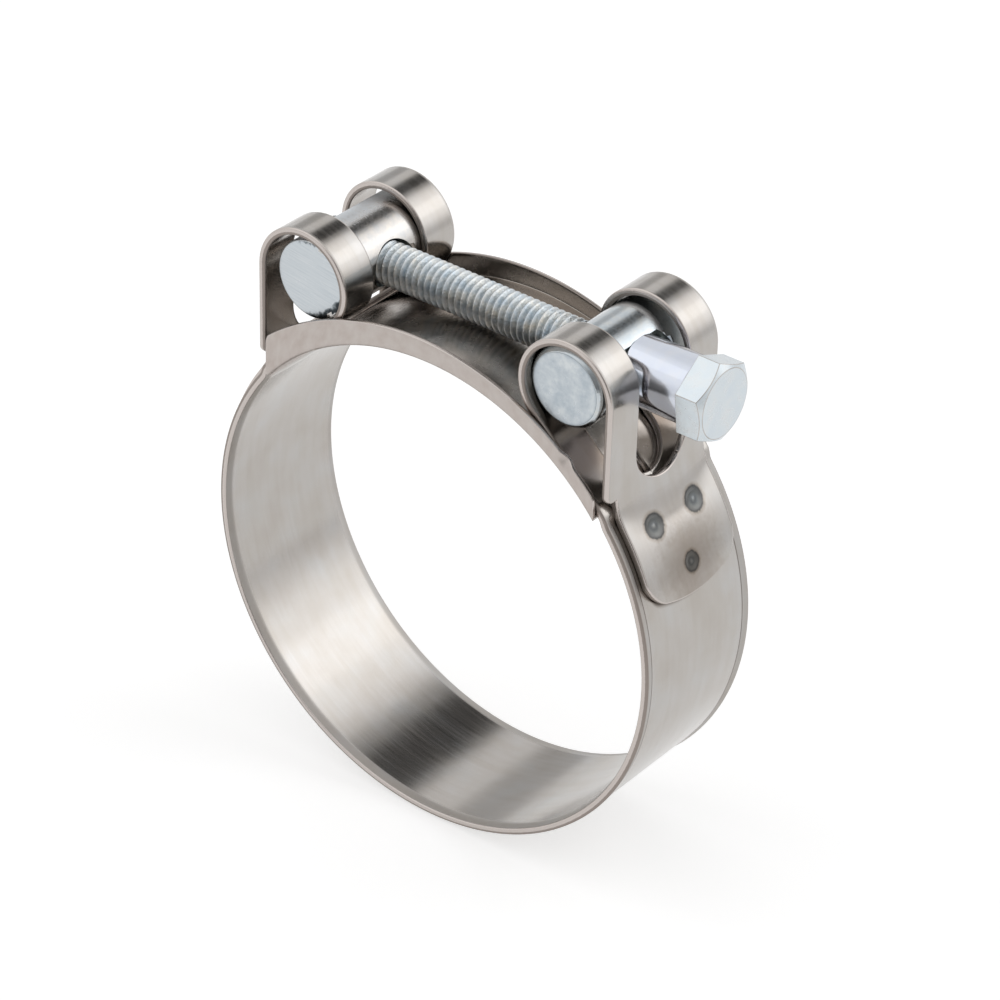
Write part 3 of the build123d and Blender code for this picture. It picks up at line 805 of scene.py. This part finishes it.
tapped = lathe("tapped_barrel", bar_profile(SAWN_EDGE, rounded_edge), "Y", TAPPED_AT, drawn_zinc,
               shift=burr)
plain = lathe("plain_barrel", bar_profile(TURNED_EDGE, soft_chamfer), "Y", PLAIN_AT, turned_zinc)
tap = lathe("tap_cutter", [(-CUTTER_HALF_L, 0), (-CUTTER_HALF_L, TAP_MOUTH_R),
                           (-BARREL_R, TAP_MOUTH_R), (TAP_SINK - BARREL_R, TAP_R),
                           (BARREL_R - TAP_SINK, TAP_R), (BARREL_R, TAP_MOUTH_R),
                           (CUTTER_HALF_L, TAP_MOUTH_R), (CUTTER_HALF_L, 0)],
            "X", TAPPED_AT, hole_zinc_and_shade)
drill = lathe("drill_cutter", [(-CUTTER_HALF_L, 0), (-CUTTER_HALF_L, PLAIN_HOLE_R),
                               (SEAT_X - BARREL_X, PLAIN_HOLE_R), (SEAT_X - BARREL_X, SEAT_R),
                               (CUTTER_HALF_L, SEAT_R), (CUTTER_HALF_L, 0)],
              "X", PLAIN_AT, hole_zinc_and_shade)
for bar, end_metal, cutter, cad_node in ((tapped, sawn_zinc, tap, "barrel_tapped"),
                                         (plain, frosted_zinc, drill, "barrel_plain")):
    bar.data.materials.append(hole_zinc_and_shade)
    bar.data.materials.append(end_metal)
    for polygon in bar.data.polygons:
        if abs(polygon.normal.y) > 0.95:
            polygon.material_index = 2
    cut_out(bar, cutter)
    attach(bar, "clamp")
    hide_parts(cad_node)

# Spacer: a short drawn tube, bright zinc over a smooth wall, loose round the bolt. It is
# near a mirror, with a lavender cast.
SPACER_X = 24.23
SPACER_L = 9.0
SPACER_R = 4.5
SPACER_BORE_R = 3.05
SPACER_EDGE = 0.2

bright_zinc = zinc_plate("bright_zinc_tube", "#CBD0DA", roughness=0.12, grain_mm=1.6,
                         depth_mm=0.012, cool="#C9CEDA", warm="#CED1D9")[0]
wall = [(0, SPACER_BORE_R)] + rounded_edge(0, SPACER_R, SPACER_EDGE, -1)[::-1]
wall += rounded_edge(SPACER_L, SPACER_R, SPACER_EDGE, 1) + [(SPACER_L, SPACER_BORE_R)]
spacer = lathe("spacer_sleeve", wall, "X", (SPACER_X, 0, BOLT_Z), bright_zinc, closed=True)
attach(spacer, "sleeve")
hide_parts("spacer")

# Bolt: an M6 by 60 hex bolt of zinc-plated steel, with a forged head and a full thread rolled at
# 1 mm pitch. It passes through the plain barrel and screws into the tapped one.
HEAD_X = 33.26
HEAD_AF = 10.0
HEAD_H = 4.0
WASHER_FACE_H = 0.2
WASHER_FACE_R = 4.7
HEAD_TOP_R = 4.65
HEAD_SLOPE = math.tan(math.radians(30))
HEAD_TURN = 7.1
HEAD_STEPS = 96
HEAD_EDGE = 0.07
HEAD_SHARP_ANGLE = 20
BOLT_TIP_X = -26.74
TIP_R = 2.15
PITCH = 1.0
THREAD_STEPS = 48
THREAD_SHARP_ANGLE = 60
THREAD_BEFORE_TIP = 2
THREAD_INTO_HEAD = 1
# One pitch of the thread: share of the pitch and radius, from root to root.
THREAD = [(0.0, 2.42), (0.09, 2.38), (0.18, 2.42), (0.34, 2.69), (0.49, 2.90), (0.55, 2.95),
          (0.63, 2.95), (0.69, 2.90), (0.84, 2.69)]
ROOT_SHADE_NOISE = 0.35

# Forged head: smooth and pale blue, worn to a warm grey line along its edges.
head_zinc = zinc_plate("forged_zinc_head", "#CCD3D7", roughness=0.24, grain_mm=0.9,
                       depth_mm=0.006, cool="#C8D0D6", warm="#D0D4D6")[0]
worn_zinc = zinc_plate("worn_zinc_edge", "#B9B6B3", roughness=0.3, grain_mm=0.3,
                       depth_mm=0.02, cool="#ABA8A5", warm="#C4C1BE")[0]

# Rolled thread: greyer, with a little more grain, and painted shade darkening the roots.
thread_zinc, tree, shader, here = zinc_plate(
    "rolled_zinc_thread", "#D0D4D6", roughness=0.34, grain_mm=0.3, depth_mm=0.14,
    cool="#C0CBD4", warm="#DAD6CE")
far = off_axis(tree, here, (0, 0, BOLT_Z), ACROSS_X)[1]
root_shade_noise = node(tree, "TexNoise", {"Vector": here, "Scale": 1 / (ROOT_SHADE_NOISE * MM), "Detail": 4.0})
far = node(tree, "Math", [root_shade_noise.outputs["Fac"], 0.7, far], operation="MULTIPLY_ADD").outputs[0]
# Painted shade: darker towards the thread's roots, with a ragged border.
feed(shader, "Base Color", stained(tree, fed(shader, "Base Color"), far, 2.6, 3.2,
                                   ["#B4B7B8", "#E3E5E5", WHITE]))


def weld_points(mesh):
    """Joins points that lie on each other, and closes the ends."""
    work = bmesh.new()
    work.from_mesh(mesh)
    bmesh.ops.remove_doubles(work, verts=work.verts, dist=0.001 * MM)
    bmesh.ops.holes_fill(work, edges=[e for e in work.edges if e.is_boundary])
    work.to_mesh(mesh)
    work.free()


def hex_head():
    """Hexagon whose corners a cone has turned off, with a washer face under it."""
    spokes = []
    for i in range(HEAD_STEPS):
        turn = 360 * i / HEAD_STEPS
        side = HEAD_AF / 2 / math.cos(math.radians(turn % 60 - 30))
        cone = HEAD_H - (side - HEAD_TOP_R) * HEAD_SLOPE
        rings = [(HEAD_TOP_R * share, HEAD_H) for share in (0, 0.35, 0.7, 1)]
        rings += [(side, cone), (side, (cone + WASHER_FACE_H) / 2), (side, WASHER_FACE_H),
                  (WASHER_FACE_R, WASHER_FACE_H), (WASHER_FACE_R, 0)]
        spokes.append([])
        for radius, x in rings:
            y, z = polar(radius, turn + HEAD_TURN - 90)
            spokes[-1].append(Vector((HEAD_X + x, y, BOLT_Z + z)) * MM)
    n, count = HEAD_STEPS, len(spokes[0])
    faces = [[r * n + i, r * n + (i + 1) % n, (r + 1) * n + (i + 1) % n, (r + 1) * n + i]
             for r in range(count - 1) for i in range(n)]
    faces.append(list(range((count - 1) * n, count * n))[::-1])
    mesh = bpy.data.meshes.new("hex_head")
    mesh.from_pydata([spoke[r] for r in range(count) for spoke in spokes], [], faces)
    mesh.materials.append(head_zinc)
    mesh.materials.append(worn_zinc)
    weld_points(mesh)
    made = finish_mesh("hex_head", mesh, HEAD_SHARP_ANGLE)
    soften = made.modifiers.new("soft_edges", "BEVEL")
    soften.width = HEAD_EDGE * MM
    soften.segments = 3
    soften.material = 1
    soften.limit_method = "ANGLE"
    soften.angle_limit = math.radians(HEAD_SHARP_ANGLE)
    made.modifiers.move(1, 0)
    return made


def helix():
    """Rolled thread from the chamfered tip to inside the head. It starts before the tip and ends
    past its last place, and what lies outside is drawn in to make the flat ends."""
    turns = round((HEAD_X - BOLT_TIP_X) / PITCH) + 2 * THREAD_BEFORE_TIP
    end_x = HEAD_X + THREAD_INTO_HEAD
    points, count = [], turns * THREAD_STEPS
    for i in range(count):
        for share, radius in THREAD:
            x = BOLT_TIP_X - THREAD_BEFORE_TIP + PITCH * (i / THREAD_STEPS + share)
            x = min(max(x, BOLT_TIP_X), end_x)
            radius = TIP_R if x == end_x else min(radius, TIP_R + x - BOLT_TIP_X)
            y, z = polar(radius, 360 * i / THREAD_STEPS)
            points.append(Vector((x, y, BOLT_Z + z)) * MM)
    n = len(THREAD)
    faces = []
    for i in range(count - THREAD_STEPS - 1):
        for k in range(n):
            a, b = i * n + k, (i + 1) * n + k
            c, d = b + 1, a + 1
            if k == n - 1:
                c, d = (i + 1 + THREAD_STEPS) * n, (i + THREAD_STEPS) * n
            faces.append([a, b, c, d])
    mesh = bpy.data.meshes.new("bolt_thread")
    mesh.from_pydata(points, [], faces)
    mesh.materials.append(thread_zinc)
    weld_points(mesh)
    return finish_mesh("bolt_thread", mesh, THREAD_SHARP_ANGLE)


for piece in (hex_head(), helix()):
    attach(piece, "screw")
    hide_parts("bolt")

# Studio: a white paper floor in a white tent with a few darker places, and two softboxes
# above. The camera stands where the photograph's did: it was fitted to the clamp's rims.
FLOOR_Z = -36.02
FLOOR_HALF = 0.3
FLOOR_GLOW = 0.55
TENT_LIGHT = 0.7
TENT_DARKEST = 0.05
# Azimuth and elevation, inner and outer radius in degrees, and what each place adds to the tent.
TENT_PLACES = ((111, 47, 5, 14, -0.95), (96, 51, 2, 13, -0.6), (51, 31, 8, 32, 0.8),
               (-146, 48, 15, 45, 0.2), (-52, -5, 20, 55, -0.7), (138, 17, 8, 12, -0.43))
# The edge of the table shows in the steel as a darker band a little below the horizon.
TABLE_EDGE_Z = -0.05
TABLE_EDGE_HALF = 0.04
TABLE_EDGE_FADED = 0.09
TABLE_EDGE_CHANGE = -0.13
CAMERA_AT = (0.269676, -0.346103, 0.291770)
CAMERA_TURN = (57.1578, -1.4049, 38.4959)
CAMERA_LENS = 144.465
SENSOR_W = 36


def toward(azimuth, elevation):
    """Unit vector at this azimuth, from +X to +Y, and elevation."""
    a, e = math.radians(azimuth), math.radians(elevation)
    return Vector((math.cos(a) * math.cos(e), math.sin(a) * math.cos(e), math.sin(e)))


def seen_rays(tree):
    """1 for rays of the camera, of mirrors and of glass, and 1 for the camera's alone."""
    path = node(tree, "LightPath").outputs
    seen = path["Is Camera Ray"]
    for kind in ("Is Glossy Ray", "Is Transmission Ray"):
        seen = node(tree, "Math", [seen, path[kind]], operation="MAXIMUM").outputs[0]
    return seen, path["Is Camera Ray"]


world = bpy.data.worlds.new("studio_tent")
bpy.context.scene.world = world
world.use_nodes = True
tree = world.node_tree
tree.nodes.clear()
look = node(tree, "TexCoord").outputs["Generated"]
seen, by_camera = seen_rays(tree)
level = node(tree, "MapRange", [seen, 0.0, 1.0, TENT_LIGHT]).outputs[0]
for azimuth, elevation, inner, outer, change in TENT_PLACES:
    facing = node(tree, "VectorMath", [look, toward(azimuth, elevation)],
                  operation="DOT_PRODUCT").outputs["Value"]
    inner, outer = math.cos(math.radians(inner)), math.cos(math.radians(outer))
    patch = node(tree, "MapRange", [facing, outer, inner, 0.0, change],
                 interpolation_type="SMOOTHSTEP").outputs[0]
    level = node(tree, "Math", [level, patch], operation="ADD").outputs[0]
off_edge = node(tree, "SeparateXYZ", [look]).outputs["Z"]
off_edge = node(tree, "Math", [off_edge, TABLE_EDGE_Z], operation="SUBTRACT").outputs[0]
off_edge = node(tree, "Math", [off_edge], operation="ABSOLUTE").outputs[0]
edge = node(tree, "MapRange", [off_edge, TABLE_EDGE_HALF, TABLE_EDGE_FADED, TABLE_EDGE_CHANGE, 0.0])
level = node(tree, "Math", [level, edge.outputs[0]], operation="ADD").outputs[0]
level = node(tree, "Math", [level, TENT_DARKEST], operation="MAXIMUM").outputs[0]
tent = node(tree, "Background", {"Color": linear(WHITE), "Strength": level}).outputs[0]
backdrop = node(tree, "Background", {"Color": linear(WHITE), "Strength": 1.0}).outputs[0]
mixed = node(tree, "MixShader", [by_camera, tent, backdrop]).outputs[0]
tree.links.new(mixed, node(tree, "OutputWorld").inputs["Surface"])

floor_mesh = bpy.data.meshes.new("floor")
floor_mesh.from_pydata([(x * FLOOR_HALF, y * FLOOR_HALF, FLOOR_Z * MM)
                        for x, y in ((-1, -1), (1, -1), (1, 1), (-1, 1))], [], [(0, 1, 2, 3)])
floor = bpy.data.objects.new("floor", floor_mesh)
bpy.context.scene.collection.objects.link(floor)
paper = bpy.data.materials.new("white_paper")
paper.use_nodes = True
tree = paper.node_tree
tree.nodes.clear()
lit = node(tree, "BsdfDiffuse", {"Color": linear("#D7D7D7")}).outputs[0]
glow = node(tree, "Math", [seen_rays(tree)[0], FLOOR_GLOW], operation="MULTIPLY").outputs[0]
fill = node(tree, "Emission", {"Strength": glow}).outputs[0]
both = node(tree, "AddShader", [lit, fill]).outputs[0]
tree.links.new(both, node(tree, "OutputMaterial").inputs["Surface"])
floor_mesh.materials.append(paper)


def softbox(name, azimuth, elevation, distance, size, radiance):
    """A round softbox that faces the clamp, as bright as this radiance."""
    lamp = bpy.data.lights.new(name, "AREA")
    lamp.shape = "DISK"
    lamp.size = size
    lamp.energy = radiance * math.pi * math.pi * (size / 2) ** 2
    made = bpy.data.objects.new(name, lamp)
    back = toward(azimuth, elevation)
    made.location = back * distance
    made.rotation_mode = "QUATERNION"
    made.rotation_quaternion = (-back).to_track_quat("-Z", "Y")
    bpy.context.scene.collection.objects.link(made)


softbox("key_softbox", azimuth=52, elevation=32, distance=1.6, size=0.55, radiance=0.35)
softbox("fill_softbox", azimuth=-150, elevation=52, distance=1.6, size=0.9, radiance=0.15)

camera = bpy.data.cameras.new("camera")
camera.lens = CAMERA_LENS
camera.sensor_width = SENSOR_W
camera.clip_start = 0.01
eye = bpy.data.objects.new("camera", camera)
eye.location = CAMERA_AT
eye.rotation_euler = [math.radians(a) for a in CAMERA_TURN]
bpy.context.scene.collection.objects.link(eye)
bpy.context.scene.camera = eye
bpy.context.scene.view_settings.view_transform = "Standard"
